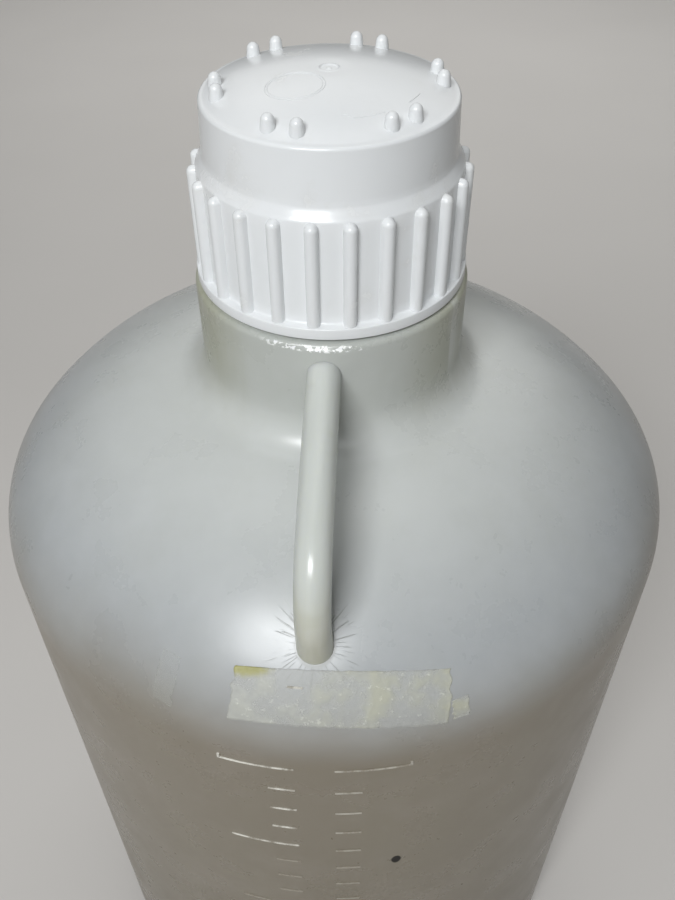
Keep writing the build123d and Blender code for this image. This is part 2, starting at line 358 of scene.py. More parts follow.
def paint_blown(g):
    where, x, y, z = g.place()
    cloudy = g.noise(where, 9.0, 4.0)
    patchy = g.noise(where, 34.0, 5.0, 0.65)
    wall_mask = 1 - (z + (cloudy - 0.5) * WAVER).ramp(*WALL_FADE)
    low_mask = 1 - z.ramp(*LOW_WALL_FADE)
    neck_mask = z.ramp(*NECK_FADE)
    # side marks where the neck turns away to left and right; the neck is painted darker there as shade.
    side = x.math("ABSOLUTE", x).ramp(*NECK_SIDE_FADE)
    # Painted light and shade by height: light on crown and shoulder, shade on the neck, darker shade on the
    # wall.
    colour = g.mix(z.ramp(*CROWN_FADE), SHOULDER_PAINTED_LIGHT, CROWN_PAINTED_LIGHT)
    colour = g.mix(neck_mask, colour, g.mix(side, NECK_PAINTED_SHADE, NECK_SIDE_PAINTED_SHADE))
    colour = g.mix(wall_mask, colour, WALL_PAINTED_SHADE)
    colour = g.mix(low_mask * wall_mask, colour, LOW_WALL_PAINTED_SHADE)
    streaky = g.noise(where, 38.0, 4.0, 0.6, stretch=(1, 1, 0.16))
    stain = streaky.ramp(0.46, 0.72)
    colour = g.mix(stain * (neck_mask * side * 0.45 + 0.06), colour, OLIVE)
    washed = g.noise(where, 75.0, 3.0, 0.6, stretch=(1, 1, 0.12)).ramp(0.56, 0.72)
    colour = g.mix(washed * neck_mask * side * 0.5, colour, PALE)
    fog = patchy.ramp(0.30, 0.85)
    colour = g.mix(fog * (1 - wall_mask) * 0.12, colour, PALE)
    murky = g.noise(where, 20.0, 5.0, 0.7).ramp(0.45, 0.7)
    colour = g.mix(murky * wall_mask * 0.30, colour, MURKY)
    # Painted highlight: bright glints on the flash at the front of the ledge.
    colour = g.mix(painted_ledge_glints(g, where, x, y, z), colour, PAINTED_GLINT_COLOUR)
    distance, angle = foot_fields(g, where)
    crease = crease_lines(g, distance, angle)
    # Painted shade in the creases and a painted shadow round each handle's foot.
    colour = g.mix((crease + painted_foot_shadow(distance, z)).clipped() * 0.55, colour, CREASE_PAINTED_SHADE)
    speck = dark_speck(g, where, patchy)
    colour = g.mix(speck, colour, SPECK_COLOUR)
    rough = 0.26 + fog * 0.10 + speck * 0.5
    height = crease * 0.6 + cloudy * 0.4
    return {"Base Color": colour, "Roughness": rough, "Normal": g.bump(height, 0.0004, 0.25)}


blown_plastic = finish_material(
    "blown_plastic",
    paint_blown,
    {
        "IOR": 1.5,
        "Subsurface Weight": 0.2,
        "Subsurface Radius": (1.0, 1.0, 0.85),
        "Subsurface Scale": 3.0 * MM,
    },
)

# %% [markdown]
# The marks of the two columns stand proud of the wall. Their base takes the wall's warm grey painted
# shade, and their pale colour is a painted highlight where the raised marks catch the light, broken up
# by fine wear that also changes their gloss. The gallon column has the painted highlight at its top only,
# and the litre column is fainter all the way down.

# %% Marks with painted highlight
MARK_PAINTED_SHADE = (0.27, 0.242, 0.195, 1)
MARK_PAINTED_HIGHLIGHT = (0.80, 0.79, 0.72, 1)


def paint_mark_highlight(g):
    where, x, y, z = g.place()
    wear_and_highlight_noise = g.noise(where, 190.0, 4.0, 0.7).ramp(0.30, 0.62)
    gallons = 1 - x.ramp(-4 * MM, 4 * MM)
    # Painted highlight: brightest high on the gallon column, fainter all the way down the litre column.
    fade = z.ramp(240 * MM, 262 * MM) * gallons + z.ramp(180 * MM, 330 * MM) * (1 - gallons) * 0.36
    colour = g.mix(wear_and_highlight_noise * (fade * 0.85 + 0.08), MARK_PAINTED_SHADE, MARK_PAINTED_HIGHLIGHT)
    return {"Base Color": colour, "Roughness": 0.22 + wear_and_highlight_noise * 0.12}


marks_painted_highlight = finish_material("marks_painted_highlight", paint_mark_highlight, {"IOR": 1.5})

# %% Handle plastic
def paint_handle(g):
    where, x, y, z = g.place()
    foot = 1 - z.ramp(0.366, 0.408)
    colour = g.mix(foot, (0.60, 0.625, 0.595, 1), (0.545, 0.54, 0.445, 1))
    streaky = g.noise(where, 110.0, 4.0, 0.6, stretch=(1, 0.10, 0.10))
    colour = g.mix(streaky.ramp(0.45, 0.75) * 0.35, colour, (0.76, 0.78, 0.74, 1))
    stain = g.noise(where, 45.0, 3.0).ramp(0.52, 0.72)
    colour = g.mix(stain * 0.25, colour, (0.43, 0.43, 0.31, 1))
    rough = 0.19 + streaky * 0.10
    height = streaky * 0.7 + g.noise(where, 240.0, 3.0) * 0.25
    return {"Base Color": colour, "Roughness": rough, "Normal": g.bump(height, 0.0004, 0.4)}


handle_plastic = finish_material(
    "handle_plastic",
    paint_handle,
    {
        "IOR": 1.5,
        "Subsurface Weight": 0.7,
        "Subsurface Radius": (1.0, 1.0, 0.8),
        "Subsurface Scale": 6.0 * MM,
    },
)

# %% [markdown]
# The closure is an opaque white moulding, glossy enough for soft reflections. Its surface has the faint
# ripple of the mould and some grey handling marks. The sealing ring is a soft, matt, pale rubber, and
# the tape is a thin film that has gone yellow and crazed.

# %% Closure plastic
def paint_closure(g):
    where, x, y, z = g.place()
    dirt = g.noise(where, 45.0, 5.0, 0.6).ramp(0.56, 0.75)
    mould = g.noise(where, 16.0, 2.0)
    colour = g.mix(mould, (0.76, 0.785, 0.80, 1), (0.82, 0.83, 0.83, 1))
    colour = g.mix(dirt * 0.25, colour, (0.62, 0.61, 0.56, 1))
    rough = 0.20 + dirt * 0.12 + mould * 0.05
    height = g.noise(where, 500.0, 2.0) * 0.25 + g.noise(where, 70.0, 3.0) * 0.6
    return {"Base Color": colour, "Roughness": rough, "Normal": g.bump(height, 0.0002, 0.35)}


closure_plastic = finish_material(
    "closure_plastic",
    paint_closure,
    {
        "IOR": 1.49,
        "Subsurface Weight": 0.15,
        "Subsurface Radius": (1.0, 1.0, 0.95),
        "Subsurface Scale": 1.5 * MM,
    },
)

# %% Sealing rubber and old tape
def paint_rubber(g):
    where, x, y, z = g.place()
    grain = g.noise(where, 400.0, 3.0)
    colour = g.mix(grain, (0.66, 0.64, 0.57, 1), (0.75, 0.73, 0.66, 1))
    return {"Base Color": colour, "Roughness": 0.62 + grain * 0.2, "Normal": g.bump(grain, 0.0002, 0.5)}


TAPE_STAIN = (-23.5 * MM, -126.6 * MM, 356.6 * MM)
STAIN_SQUEEZE = 0.35
CLEAR_FILM = (0.70, 0.71, 0.68, 1)
YELLOW_FILM = (0.68, 0.68, 0.55, 1)
FILM_FLECK = (0.78, 0.79, 0.72, 1)
FILM_STAIN = (0.40, 0.38, 0.08, 1)


def paint_tape(g):
    where, x, y, z = g.place()
    crazed = g.noise(where, 420.0, 5.0, 0.7)
    patchy = g.noise(where, 60.0, 3.0).ramp(0.40, 0.64)
    flecks = crazed.ramp(0.58, 0.68)
    yellowed = x.ramp(-20 * MM, 30 * MM) * 0.7 + 0.3
    colour = g.mix(patchy * yellowed, CLEAR_FILM, YELLOW_FILM)
    colour = g.mix(flecks * 0.5, colour, FILM_FLECK)
    squeeze = {"Vector": where, "Scale": (STAIN_SQUEEZE, 1, 1)}
    squeezed = g.node("ShaderNodeMapping", {}, squeeze)[0]
    centre = (TAPE_STAIN[0] * STAIN_SQUEEZE, TAPE_STAIN[1], TAPE_STAIN[2])
    away = g.node("ShaderNodeVectorMath", {"operation": "DISTANCE"}, {0: squeezed, 1: centre})[1]
    stain = 1 - (away + (crazed - 0.5) * 3 * MM).ramp(1.6 * MM, 4.2 * MM)
    colour = g.mix(stain * 0.8, colour, FILM_STAIN)
    main = x.ramp(-36 * MM, -30 * MM)
    alpha = ((0.24 + patchy * 0.22 + flecks * 0.25) * (main * 0.85 + 0.15) + stain * 0.5).clipped()
    rough = 0.26 + crazed * 0.3
    normal = g.bump(crazed + patchy * 0.5, 0.0005, 0.8)
    return {"Base Color": colour, "Roughness": rough, "Normal": normal, "Alpha": alpha}


def paint_tape_edge(g):
    where, x, y, z = g.place()
    broken = g.noise(where, 260.0, 4.0, 0.7).ramp(0.38, 0.60)
    colour = g.mix(broken, (0.55, 0.55, 0.46, 1), (0.88, 0.89, 0.82, 1))
    return {"Base Color": colour, "Roughness": 0.2 + broken * 0.15, "Alpha": 0.25 + broken * 0.75}


sealing_rubber = finish_material("sealing_rubber", paint_rubber, {"IOR": 1.45})
old_tape = finish_material("old_tape", paint_tape, {"IOR": 1.47})
tape_edge = finish_material("tape_edge", paint_tape_edge, {"IOR": 1.47})

# %% [markdown]
# ## Turning a profile on the axis
#
# A blown bottle and a round closure are both turned shapes, so one function serves both: it takes a
# profile as (radius, height) points, spins it, and closes the poles. A `relief` function may move a
# point outwards by an amount that depends on its angle and height, which is how the screw threads grow
# out of the wall without any cutting or joining.

# %% The lathe
def arc(centre, radius, start, end, steps):
    """Points on an arc in the profile plane. Angles are in degrees, 0 outwards and 90 upwards."""
    angles = np.radians(np.linspace(start, end, steps + 1))
    return [(centre[0] + radius * math.cos(a), centre[1] + radius * math.sin(a)) for a in angles]


def run(start, end, steps):
    """Points on a straight stretch of the profile."""
    return [tuple(p) for p in np.linspace(start, end, steps + 1)]


def without_doubles(points):
    kept = [points[0]]
    for point in points[1:]:
        if math.dist(point, kept[-1]) > 1e-6:
            kept.append(point)
    return kept


def new_piece(name, vertices, faces, material, sharp=32):
    """A smooth-shaded mesh object whose edges over the sharp angle stay crisp."""
    mesh = bpy.data.meshes.new(name)
    mesh.from_pydata([tuple(v) for v in vertices], [], faces)
    tidy = bmesh.new()
    tidy.from_mesh(mesh)
    bmesh.ops.recalc_face_normals(tidy, faces=tidy.faces)
    tidy.to_mesh(mesh)
    tidy.free()
    mesh.polygons.foreach_set("use_smooth", [True] * len(mesh.polygons))
    mesh.set_sharp_from_angle(angle=math.radians(sharp))
    mesh.materials.append(material)
    piece = bpy.data.objects.new(name, mesh)
    bpy.context.scene.collection.objects.link(piece)
    print(name, "has", len(mesh.vertices), "points")
    return piece


def turned(name, profile, segments, material, relief=None, sharp=32):
    """Spin a profile that starts and ends on the axis, or a closed loop that never touches it."""
    profile = without_doubles(profile)
    on_axis = profile[0][0] < 1e-9
    rings = profile[1:-1] if on_axis else profile
    angles = np.linspace(0, 2 * math.pi, segments, endpoint=False)
    vertices = []
    for radius, height in rings:
        for angle in angles:
            out = radius + (relief(angle, radius, height) if relief else 0.0)
            vertices.append((out * math.cos(angle), out * math.sin(angle), height))
    faces = []
    rows = len(rings)
    for row in range(rows - 1 if on_axis else rows):
        here, there = row * segments, ((row + 1) % rows) * segments
        for i in range(segments):
            j = (i + 1) % segments
            faces.append((here + i, here + j, there + j, there + i))
    if on_axis:
        for pole, row in ((profile[0], 0), (profile[-1], rows - 1)):
            vertices.append((0, 0, pole[1]))
            tip = len(vertices) - 1
            faces += [(tip, row * segments + i, row * segments + (i + 1) % segments) for i in range(segments)]
    return new_piece(name, vertices, faces, material, sharp)


def thread_height(angle, height, start_z, root, crest, depth):
    """How far a two-turn helical thread stands out at this angle and height."""
    turns = (height - start_z) / THREAD_PITCH - angle / (2 * math.pi)
    nearest = min(max(round(turns), 0), math.ceil(THREAD_TURNS) - 1)
    off = abs(turns - nearest) * THREAD_PITCH
    along = (nearest + angle / (2 * math.pi)) / THREAD_TURNS
    fade = min(1.0, min(along, 1 - along) * 25)
    flank = (root / 2 - off) / (root / 2 - crest / 2)
    return depth * fade * min(1.0, max(0.0, flank))


# %% [markdown]
# ## The blown bottle
#
# One profile runs from the middle of the base, out and up the outside, over the rim and down the inside
# to the base again, so the wall is a real 3.4 mm shell with a real mouth. The relief adds the thread, a
# soft pad on the neck round the root of each handle, and a ragged line of flash on the front of the
# neck's ledge, where the mould closed.

# %% Bottle shell
shoulder_turn = 90 - SHOULDER_SLOPE
crown_turn = 90 - CROWN_SLOPE


def shoulder_profile(inset, steps):
    """Straight wall, shoulder, crown, neck fillet and neck, moved in by inset. Lowest point first."""
    shoulder_at = (BODY_R - SHOULDER_R, STRAIGHT_Z)
    points = arc(shoulder_at, SHOULDER_R - inset, 0, shoulder_turn, steps)
    joint = arc(shoulder_at, SHOULDER_R, shoulder_turn, shoulder_turn, 1)[0]
    lean = math.radians(shoulder_turn)
    crown_at = (joint[0] - CROWN_R * math.cos(lean), joint[1] - CROWN_R * math.sin(lean))
    points += arc(crown_at, CROWN_R - inset, shoulder_turn, crown_turn, steps * 3)
    lean = math.radians(crown_turn)
    reach = CROWN_R + NECK_FILLET
    fillet_at = (crown_at[0] + reach * math.cos(lean), crown_at[1] + reach * math.sin(lean))
    return points + arc(fillet_at, NECK_FILLET + inset, 180 + crown_turn, 180, steps)


ring_in = BODY_R - BASE_EDGE - BASE_RING
outside = [(0, BASE_RECESS)] + run((ring_in - RECESS_SLOPE, BASE_RECESS), (ring_in, 0), 6)
outside += run((ring_in, 0), (BODY_R - BASE_EDGE, 0), 3)
outside += arc((BODY_R - BASE_EDGE, BASE_EDGE), BASE_EDGE, -90, 0, 12)
outside += run((BODY_R, BASE_EDGE), (BODY_R, STRAIGHT_Z), 36)
outside += shoulder_profile(0, 14)
outside += run((NECK_R, outside[-1][1]), (NECK_R, LEDGE_Z - NECK_EDGE), 16)
outside += arc((NECK_R - NECK_EDGE, LEDGE_Z - NECK_EDGE), NECK_EDGE, 0, 90, 6)
outside += arc((FINISH_R + 1.5 * MM, LEDGE_Z + 1.5 * MM), 1.5 * MM, 270, 180, 5)
thread_low, thread_high = THREAD_Z - 3 * MM, THREAD_Z + THREAD_PITCH * THREAD_TURNS + 3 * MM
outside += run((FINISH_R, thread_low), (FINISH_R, thread_high), 64)
outside += arc((FINISH_R - 0.8 * MM, RIM_Z - 0.8 * MM), 0.8 * MM, 0, 90, 4)
inside = arc((BORE_R + 0.8 * MM, RIM_Z - 0.8 * MM), 0.8 * MM, 90, 180, 4)
inside += [(BORE_R, LEDGE_Z - WALL), (NECK_R - WALL, LEDGE_Z - WALL)]
inside += shoulder_profile(WALL, 10)[::-1]
inside += run((BODY_R - WALL, STRAIGHT_Z), (BODY_R - WALL, BASE_EDGE), 12)
inside += arc((BODY_R - BASE_EDGE, BASE_EDGE), BASE_EDGE - WALL, 0, -90, 8)
inside += [(ring_in + WALL / 2, WALL), (ring_in - RECESS_SLOPE + WALL / 2, BASE_RECESS + WALL)]
inside += [(0, BASE_RECESS + WALL)]


FLASH = 0.9 * MM
FLASH_SPAN = 26.0
PAD_RISE = 2.0 * MM
PAD_SPREAD = 8.5 * MM


def neck_relief(angle, radius, height):
    if abs(radius - FINISH_R) < 1e-6 and thread_low <= height <= thread_high:
        return thread_height(angle, height, THREAD_Z, THREAD_ROOT, THREAD_CREST, THREAD_DEPTH)
    if abs(radius - NECK_R) < 1e-6:
        off_rod = math.remainder(angle - math.pi / 2, math.pi) * NECK_R
        spread = (off_rod**2 + (height - LEDGE_Z + 11 * MM) ** 2) / PAD_SPREAD**2
        return PAD_RISE * math.exp(-spread)
    off_front = math.degrees(math.remainder(angle + math.pi / 2, 2 * math.pi)) + 4
    if radius <= NECK_R - 1.6 * MM:
        return 0.0
    on_edge = math.exp(-(((height - LEDGE_Z + 0.8 * MM) / (0.7 * MM)) ** 2))
    ragged = max(0.0, noise.noise(Vector((angle * 60, height / MM * 0.6, 2.0))))
    return FLASH * on_edge * ragged * math.exp(-((off_front / FLASH_SPAN) ** 4))


bottle_shell = turned("bottle_shell", outside + inside, 288, blown_plastic, neck_relief)

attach(bottle_shell, "bottle")
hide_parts("bottle_body")

# %% [markdown]
# ## The loop handles
#
# Each handle is a solid rod. Its centre line leaves the neck sloping gently down, turns sharply over,
# and comes back in to the shoulder. The line is two arcs and a straight end, and a circle is carried
# along it. Towards the foot the rod thickens slightly, where it was fused to the wall.

# %% Handles
ROD_R = 6.0 * MM
HANDLE_DROP = 10.5 * MM
HANDLE_INSET = 17.0 * MM
HANDLE_BEND = 24.0 * MM
FIRST_SLOPE = 8.0
LAST_SLOPE = 24.0
HANDLE_RETURN = 15.0
ROOT_DEPTH = 1.5 * MM
FOOT_RUN = 15.0 * MM


def handle_line():
    """The rod's centre line as (outwards, height) points."""
    start = NECK_R - 6.0 * MM
    bend_reach = HANDLE_BEND * (1 - math.sin(math.radians(LAST_SLOPE)))
    span = BODY_R - HANDLE_INSET - bend_reach - start
    arch = span / (math.sin(math.radians(LAST_SLOPE)) - math.sin(math.radians(FIRST_SLOPE)))
    lean = math.radians(90 - FIRST_SLOPE)
    arch_at = (start - arch * math.cos(lean), LEDGE_Z - HANDLE_DROP - arch * math.sin(lean))
    points = arc(arch_at, arch, 90 - FIRST_SLOPE, 90 - LAST_SLOPE, 26)
    lean = math.radians(90 - LAST_SLOPE)
    bend_at = (points[-1][0] - HANDLE_BEND * math.cos(lean), points[-1][1] - HANDLE_BEND * math.sin(lean))
    points += arc(bend_at, HANDLE_BEND, 90 - LAST_SLOPE, -HANDLE_RETURN, 40)
    lean = math.radians(-90 - HANDLE_RETURN)
    end = (points[-1][0] + FOOT_RUN * math.cos(lean), points[-1][1] + FOOT_RUN * math.sin(lean))
    points = without_doubles(points + run(points[-1], end, 10))
    return [p for p in points if p[0] > NECK_R - ROOT_DEPTH or p[1] < LEDGE_Z - 30 * MM]


def make_handle(name, side):
    line = [Vector((0, side * r, z)) for r, z in handle_line()]
    vertices, faces, sides = [], [], 36
    across = Vector((1, 0, 0))
    for i, point in enumerate(line):
        ahead = (line[min(i + 1, len(line) - 1)] - line[max(i - 1, 0)]).normalized()
        lift = across.cross(ahead).normalized()
        share = i / (len(line) - 1)
        radius = ROD_R * (1 + 0.05 * max(0.0, (share - 0.75) / 0.25) ** 2)
        for k in range(sides):
            angle = 2 * math.pi * k / sides
            vertices.append(point + (across * math.cos(angle) + lift * math.sin(angle)) * radius)
    for i in range(len(line) - 1):
        for k in range(sides):
            j = (k + 1) % sides
            faces.append((i * sides + k, i * sides + j, (i + 1) * sides + j, (i + 1) * sides + k))
    last = (len(line) - 1) * sides
    faces += [tuple(range(sides)), tuple(range(last, last + sides))]
    return new_piece(name, vertices, faces, handle_plastic)


for name, side in (("handle_front", -1), ("handle_rear", 1)):
    rod = make_handle(name + "_rod", side)
    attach(rod, "bottle")
    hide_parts(name)

# %% [markdown]
# ## Geometry Nodes for what repeats
#
# Ribs, pegs and graduation marks all repeat, so each is a small node tree: one shape, points to put it
# on, and instances that are made real at the end. `grown` builds the tree's object, sets the inputs by
# their identifiers before anything is evaluated, takes the finished mesh and leaves no modifier behind.

# %% Growing a piece from a tree
def new_tree(name, sockets):
    """A geometry node tree with named inputs, as (graph, {name: wire})."""
    tree = bpy.data.node_groups.new(name, "GeometryNodeTree")
    tree.interface.new_socket("Geometry", in_out="OUTPUT", socket_type="NodeSocketGeometry")
    for label, kind in sockets.items():
        tree.interface.new_socket(label, in_out="INPUT", socket_type="NodeSocket" + kind)
    graph = Graph(tree)
    group_in = tree.nodes.new("NodeGroupInput")
    given = {out.name: Wire(graph, out) for out in group_in.outputs if out.name}
    return graph, given


def close_tree(graph, wire, material):
    """Make instances real, set the material and end the tree."""
    real = graph.node("GeometryNodeRealizeInstances", {}, {0: wire})[0]
    painted = graph.node("GeometryNodeSetMaterial", {}, {"Geometry": real, "Material": material})[0]
    out = graph.tree.nodes.new("NodeGroupOutput")
    graph.tree.links.new(painted.socket, out.inputs[0])


def grown(name, tree, values, material, sharp=40):
    """Evaluate a tree on an empty mesh and keep the result as a plain mesh object."""
    host = bpy.data.objects.new(name, bpy.data.meshes.new(name + "_seed"))
    bpy.context.scene.collection.objects.link(host)
    modifier = host.modifiers.new("grow", "NODES")
    modifier.node_group = tree
    sockets = {s.name: s.identifier for s in tree.interface.items_tree if s.in_out == "INPUT"}
    for label, value in values.items():
        modifier[sockets[label]] = value
    view = bpy.context.evaluated_depsgraph_get()
    mesh = bpy.data.meshes.new_from_object(host.evaluated_get(view))
    host.modifiers.clear()
    mesh.polygons.foreach_set("use_smooth", [True] * len(mesh.polygons))
    mesh.set_sharp_from_angle(angle=math.radians(sharp))
    if not mesh.materials:
        mesh.materials.append(material)
    host.data = mesh
    print(name, "grew to", len(mesh.polygons), "faces")
    return host


# %% [markdown]
# ## Graduations
#
# Two columns of raised marks stand either side of the handle's line: gallons in quarts on the left, and
# litres on the right. One mark is an arc of the body's circle with a small flat section swept along it,
# and a column is that arc repeated downwards. The same tree makes long and short marks, the upright tick
# at the outer end of each top mark, and the twenty litre mark, which stands higher, on the shoulder.

# %% Graduation marks
MARK_TOP = 318.9 * MM
QUART_STEP = 15.49 * MM
LITRE_STEP = 16.37 * MM
MARK_GAP = 2.9
SHORT_MARK = 4.0
LONG_MARK = 11.1
MARK_TALL = 0.6 * MM
MARK_OUT = 0.5 * MM
TICK_TALL = 2.4 * MM
TICK_SWEEP = 0.35
TWENTY_LITRE_Z = 353.3 * MM


def mark_tree():
    sizes = ("Step", "Top", "Radius", "Start", "Sweep", "Tall", "Out")
    g, given = new_tree("graduation_column", {"Count": "Int", **{label: "Float" for label in sizes}})
    bar = {"Resolution": 18, "Radius": given["Radius"]}
    bar.update({"Start Angle": given["Start"], "Sweep Angle": given["Sweep"]})
    line = g.node("GeometryNodeCurveArc", {"mode": "RADIUS"}, bar)[0]
    flat = {"Width": given["Out"] * 2, "Height": given["Tall"]}
    section = g.node("GeometryNodeCurvePrimitiveQuadrilateral", {}, flat)[0]
    rounding = {"Curve": section, "Radius": given["Out"] * 0.6, "Count": 2}
    section = g.node("GeometryNodeFilletCurve", {"mode": "POLY"}, rounding)[0]
    sweep = {"Curve": line, "Profile Curve": section, "Fill Caps": True}
    mark = g.node("GeometryNodeCurveToMesh", {}, sweep)[0]
    top = g.node("ShaderNodeCombineXYZ", {}, {"Z": given["Top"]})[0]
    step = g.node("ShaderNodeCombineXYZ", {}, {"Z": given["Step"] * -1})[0]
    places = {"Count": given["Count"], "Start Location": top, "Offset": step}
    spots = g.node("GeometryNodeMeshLine", {}, places)[0]
    column = g.node("GeometryNodeInstanceOnPoints", {}, {"Points": spots, "Instance": mark})[0]
    close_tree(g, column, marks_painted_highlight)
    return g.tree


marks = mark_tree()
front = math.radians(-90)
QUART_START = -MARK_GAP - SHORT_MARK
GALLON_STEP = 4 * QUART_STEP
mark_sets = {
    "gallon_marks": (5, GALLON_STEP, MARK_TOP, -MARK_GAP - LONG_MARK, LONG_MARK),
    "litre_top_mark": (1, LITRE_STEP, MARK_TOP, MARK_GAP, LONG_MARK),
    "litre_marks": (18, LITRE_STEP, MARK_TOP - LITRE_STEP, MARK_GAP, SHORT_MARK),
    "quart_marks_one": (5, GALLON_STEP, MARK_TOP - QUART_STEP, QUART_START, SHORT_MARK),
    "quart_marks_two": (5, GALLON_STEP, MARK_TOP - 2 * QUART_STEP, QUART_START, SHORT_MARK),
    "quart_marks_three": (5, GALLON_STEP, MARK_TOP - 3 * QUART_STEP, QUART_START, SHORT_MARK),
}
shoulder_line = shoulder_profile(0, 40)
shoulder_radii = [p[0] for p in shoulder_line]
shoulder_heights = [p[1] for p in shoulder_line]
twenty_litre_r = float(np.interp(TWENTY_LITRE_Z, shoulder_heights, shoulder_radii))
tick_z = MARK_TOP + TICK_TALL / 2
outer_end = MARK_GAP + LONG_MARK
mark_sets["twenty_litre_mark"] = (1, LITRE_STEP, TWENTY_LITRE_Z, -3.9, 2.3)
mark_sets["gallon_tick"] = (1, LITRE_STEP, tick_z, -outer_end, TICK_SWEEP)
mark_sets["litre_tick"] = (1, LITRE_STEP, tick_z, outer_end - TICK_SWEEP, TICK_SWEEP)
for name, (count, step, top, start, sweep) in mark_sets.items():
    radius = twenty_litre_r if name == "twenty_litre_mark" else BODY_R
    tall = TICK_TALL if name.endswith("tick") else MARK_TALL
    values = {"Count": count, "Step": step, "Top": top, "Radius": radius, "Tall": tall, "Out": MARK_OUT}
    values.update({"Start": front + math.radians(start), "Sweep": math.radians(sweep)})
    column = grown(name, marks, values, marks_painted_highlight)
    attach(column, "bottle")

# %% [markdown]
# ## The closure
#
# The closure is turned too: a domed top, a drum, a sloping shelf, the skirt and its flange, and inside
# it the roof and the skirt's bore with a thread that lies in the grooves of the neck's. Ribs and pegs
# come after it as instances, because they repeat round the axis.

# %% Closure shell
THREAD_IN_Z = THREAD_Z - THREAD_PITCH / 2
GATE_R = 3.1 * MM
DISH_R = 9.0 * MM


def gate_relief(radius):
    """The injection point in the middle: a nub in a small crater, in a shallow dish."""
    dish = -0.30 * MM * (0.5 + 0.5 * math.cos(math.pi * min(radius / DISH_R, 1.0)))
    rim = 0.22 * MM * math.exp(-(((radius - GATE_R) / (0.35 * MM)) ** 2))
    nub = 0.45 * MM * math.exp(-((radius / (0.8 * MM)) ** 4))
    crater = -0.25 * MM if radius < GATE_R else 0.0
    return dish + rim + nub + crater


edge_lean = math.degrees(math.asin((DRUM_TOP_R - ROOF_EDGE) / DOME_R))
top_radii = [*np.arange(0.0, 3.6, 0.2), *np.arange(3.6, 10.0, 0.5)]
top_face = [(r * MM, dome_z(r * MM) + gate_relief(r * MM)) for r in top_radii]
top_face += [(r, dome_z(r)) for r in np.linspace(10.5 * MM, DRUM_TOP_R - ROOF_EDGE, 26)]
edge_at = (DRUM_TOP_R - ROOF_EDGE, top_face[-1][1] - ROOF_EDGE * math.cos(math.radians(edge_lean)))
drum = arc(edge_at, ROOF_EDGE, 90 - edge_lean, 2, 8)
drum += run((DRUM_TOP_R, edge_at[1] - 0.3 * MM), (DRUM_FOOT_R, SHELF_Z + SHELF_DROP + 0.5 * MM), 8)
shelf_start = (DRUM_FOOT_R + 0.3 * MM, SHELF_Z + SHELF_DROP - 0.2 * MM)
shelf = run(shelf_start, (SKIRT_R - 0.5 * MM, SHELF_Z + 0.55 * MM), 4)
shelf += [(SKIRT_R - 0.15 * MM, SHELF_Z + 0.1 * MM), (SKIRT_R, SHELF_Z - 0.4 * MM)]
skirt = run((SKIRT_R, SHELF_Z - 0.4 * MM), (SKIRT_R, SKIRT_Z + FLANGE_TALL + 0.8 * MM), 10)
flange_top = SKIRT_Z + FLANGE_TALL
flange = arc((SKIRT_R + 0.8 * MM, flange_top + 0.8 * MM), 0.8 * MM, 180, 270, 4)
flange += arc((FLANGE_R - 0.4 * MM, flange_top - 0.4 * MM), 0.4 * MM, 90, 0, 4)
flange += arc((FLANGE_R - 0.5 * MM, SKIRT_Z + 0.5 * MM), 0.5 * MM, 0, -90, 4)
step_z = SHELF_Z - 1.4 * MM
bore_low, bore_high = THREAD_IN_Z - 3 * MM, THREAD_IN_Z + THREAD_PITCH * THREAD_TURNS + 3 * MM
hollow = [(SKIRT_IN + 0.5 * MM, SKIRT_Z), (SKIRT_IN, SKIRT_Z + 0.5 * MM)]
hollow += run((SKIRT_IN, bore_low), (SKIRT_IN, bore_high), 64)
hollow += [(SKIRT_IN, step_z), (DRUM_IN, step_z), (DRUM_IN, ROOF_Z), (SEAT_R, ROOF_Z)]
hollow += [(r, dome_z(r, ROOF)) for r in np.linspace(SEAT_R, 0, 14)]


def bore_relief(angle, radius, height):
    if abs(radius - SKIRT_IN) > 1e-6 or not bore_low <= height <= bore_high:
        return 0.0
    return -thread_height(angle, height, THREAD_IN_Z, 3.2 * MM, 2.0 * MM, 2.2 * MM)


closure_profile = top_face + drum + shelf + skirt + flange + hollow
closure_shell = turned("closure_shell", closure_profile, 240, closure_plastic, bore_relief)
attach(closure_shell, "screw_closure")
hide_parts("closure")

# %% [markdown]
# Two thin rings of an oval and the arcs of a turning arrow are moulded on the dome. The tree draws an arc
# of an ellipse, drops it on the dome's sphere and sweeps a small round section along it.

# %% Lines on the dome
LINE_R = 0.16 * MM


def dome_line_tree():
    sockets = ("Wide", "Deep", "Across", "Back", "Start", "Sweep", "Thick")
    g, given = new_tree("line_on_dome", {label: "Float" for label in sockets})
    unit = {"Resolution": 72, "Radius": 1.0, "Start Angle": given["Start"], "Sweep Angle": given["Sweep"]}
    line = g.node("GeometryNodeCurveArc", {"mode": "RADIUS"}, unit)[0]
    spot = g.node("GeometryNodeInputPosition")[0]
    across, back, up = g.node("ShaderNodeSeparateXYZ", {}, {0: spot})
    across = across * given["Wide"] + given["Across"]
    back = back * given["Deep"] + given["Back"]
    up = (DOME_R**2 - across * across - back * back) ** 0.5 + (CREST_Z - DOME_R)
    on_dome = g.node("ShaderNodeCombineXYZ", {}, {0: across, 1: back, 2: up})[0]
    line = g.node("GeometryNodeSetPosition", {}, {"Geometry": line, "Position": on_dome})[0]
    section = g.node("GeometryNodeCurvePrimitiveCircle", {}, {"Resolution": 8, "Radius": given["Thick"]})[0]
    sweep = {"Curve": line, "Profile Curve": section, "Fill Caps": True}
    swept = g.node("GeometryNodeCurveToMesh", {}, sweep)[0]
    close_tree(g, swept, closure_plastic)
    return g.tree


